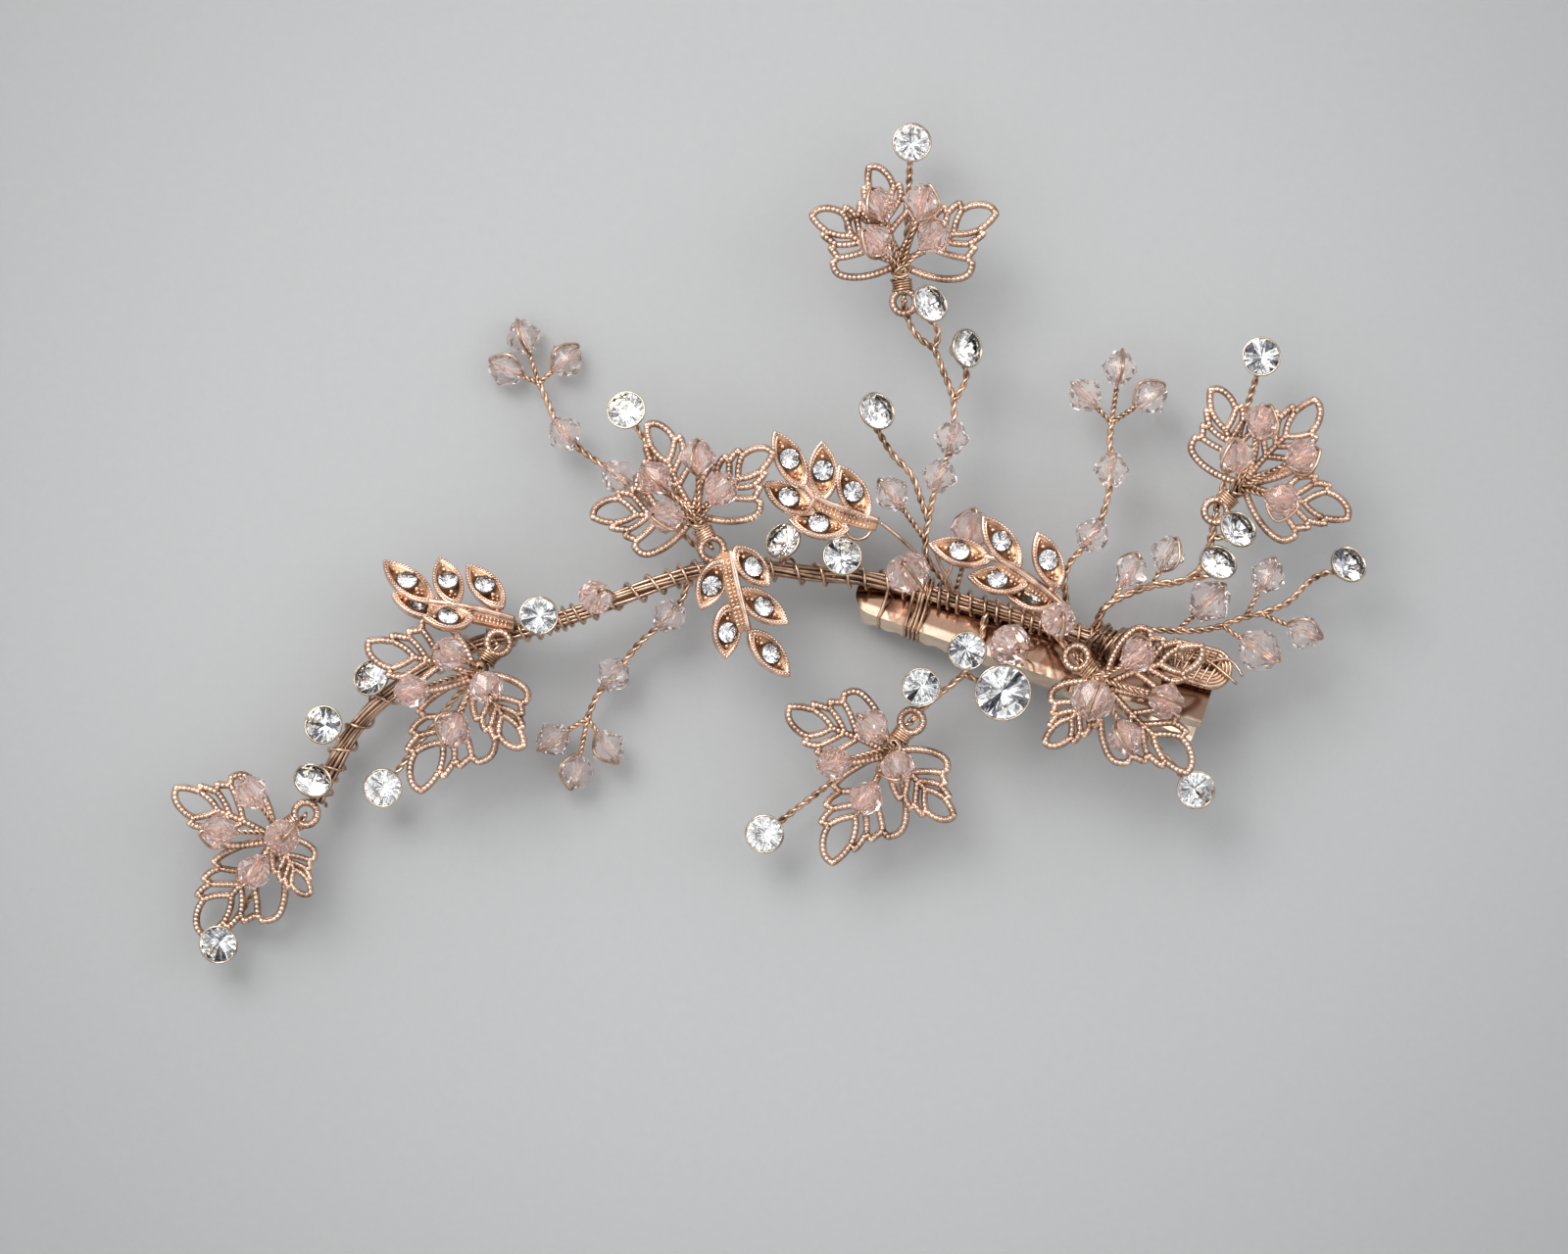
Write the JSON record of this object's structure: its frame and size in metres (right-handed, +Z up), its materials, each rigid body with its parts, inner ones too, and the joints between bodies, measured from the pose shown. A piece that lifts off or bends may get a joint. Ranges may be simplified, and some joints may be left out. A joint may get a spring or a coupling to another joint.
{
  "type": "bridal hair vine clip",
  "caption": "Wired bridal hair vine of filigree leaves, cast leaf sprays, faceted crystal beads and cup-set stones, bound along a bundle of wires to a sprung alligator clip.",
  "frame": {"origin": "under the middle of the vine's bounding box, on the surface it lies on", "axes": "+X along the vine from its tapering end to its clip end, +Z up from the surface it lies on, +Y towards the tall branch"},
  "size_m": [0.1349, 0.0954, 0.0189],
  "materials": {
    "rose_gold_wire": "satin",
    "rose_gold_filigree": "polished",
    "cast_rose_gold": "polished",
    "clip_gold": "polished",
    "spring_steel": "satin",
    "antique_brass": "satin",
    "clear_crystal": "polished",
    "rose_crystal": "polished",
    "pale_pink_crystal": "polished"
  },
  "bodies": {
    "vine_and_upper_jaw": {"branch_a_beads": "pale_pink_crystal", "branch_a_stem": "rose_gold_wire", "branch_b_beads": "pale_pink_crystal", "branch_b_stem": "rose_gold_wire", "branch_c_beads": "pale_pink_crystal", "branch_c_stem": "rose_gold_wire", "branch_d_beads": "pale_pink_crystal", "branch_d_stem": "rose_gold_wire", "branch_e_beads": "pale_pink_crystal", "branch_e_stem": "rose_gold_wire", "branch_f_beads": "pale_pink_crystal", "branch_f_stem": "rose_gold_wire", "clip_hinge_pin": "clip_gold", "clip_lashing_wire": "rose_gold_wire", "clip_spring": "spring_steel", "clip_top_jaw": "clip_gold", "end_coil": "rose_gold_wire", "filigree_leaf_1": "rose_gold_filigree", "filigree_leaf_2": "rose_gold_filigree", "filigree_leaf_3": "rose_gold_filigree", "filigree_leaf_4": "rose_gold_filigree", "filigree_leaf_5": "rose_gold_filigree", "filigree_leaf_6": "rose_gold_filigree", "filigree_leaf_7": "rose_gold_filigree", "leaf_1_bead_wires": "rose_gold_wire", "leaf_1_beads": "rose_crystal", "leaf_2_bead_wires": "rose_gold_wire", "leaf_2_beads": "rose_crystal", "leaf_3_bead_wires": "rose_gold_wire", "leaf_3_beads": "rose_crystal", "leaf_4_bead_wires": "rose_gold_wire", "leaf_4_beads": "rose_crystal", "leaf_5_bead_wires": "rose_gold_wire", "leaf_5_beads": "rose_crystal", "leaf_6_bead_wires": "rose_gold_wire", "leaf_6_beads": "rose_crystal", "leaf_6_stem": "rose_gold_wire", "leaf_7_bead_wires": "rose_gold_wire", "leaf_7_beads": "rose_crystal", "leaf_7_stem": "rose_gold_wire", "leaf_spray_1": "cast_rose_gold", "leaf_spray_2": "cast_rose_gold", "leaf_spray_3": "cast_rose_gold", "leaf_spray_4": "cast_rose_gold", "leaf_spray_crystals": "clear_crystal", "leaf_stone_stems": "rose_gold_wire", "set_stones_large": "clear_crystal", "set_stones_small": "clear_crystal", "spine_bead_wires": "rose_gold_wire", "spine_beads": "rose_crystal", "spine_binding_wire": "rose_gold_wire", "spine_stone_stems": "rose_gold_wire", "spine_wires": "rose_gold_wire", "stone_cups_large": "antique_brass", "stone_cups_small": "antique_brass"},
    "lower_jaw": {"clip_bottom_jaw": "clip_gold"}
  },
  "joints": [
    {"name": "clip_hinge", "type": "hinge", "parent": "vine_and_upper_jaw", "child": "lower_jaw", "pos_m": [0.0357, -0.01337, 0.00647], "axis": [-0.3071, -0.876, 0.3718], "range_deg": [0, 25], "stiffness_Nm_per_rad": 0.05, "springref_deg": -45.84, "deforming": ["clip_spring"]}
  ]
}
